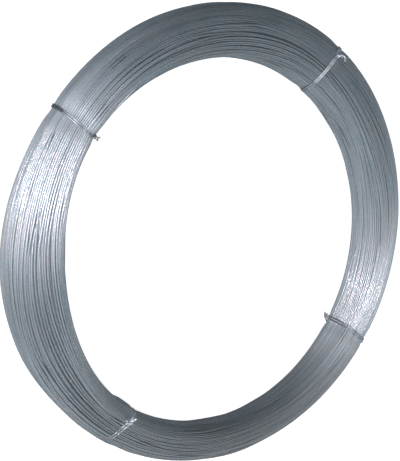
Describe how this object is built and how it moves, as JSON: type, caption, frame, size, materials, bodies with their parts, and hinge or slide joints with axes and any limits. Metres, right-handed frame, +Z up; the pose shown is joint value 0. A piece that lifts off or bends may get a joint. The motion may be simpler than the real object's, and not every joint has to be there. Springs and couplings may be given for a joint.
{
  "type": "coil of galvanised wire",
  "caption": "Upright ring-shaped coil of galvanised steel wire, 578 mm across with a 462 mm bore, held by four twisted wire ties.",
  "frame": {"origin": "centre of the bore", "axes": "+Y along the bore axis to the back of the coil, the front end faces -Y, +Z up, standing on its rim"},
  "size_m": [0.578, 0.0713, 0.578],
  "materials": {
    "galvanised_wire": "dull blue-grey zinc coating with bright streaks along the turns",
    "tie_wire": "brighter zinc coating, twisted and cut at its ends"
  },
  "bodies": {
    "root": {"wire_coil": "galvanised_wire", "tie_upper_left": "tie_wire", "tie_upper_right": "tie_wire", "tie_lower_right": "tie_wire", "tie_lower_left": "tie_wire"}
  },
  "joints": []
}
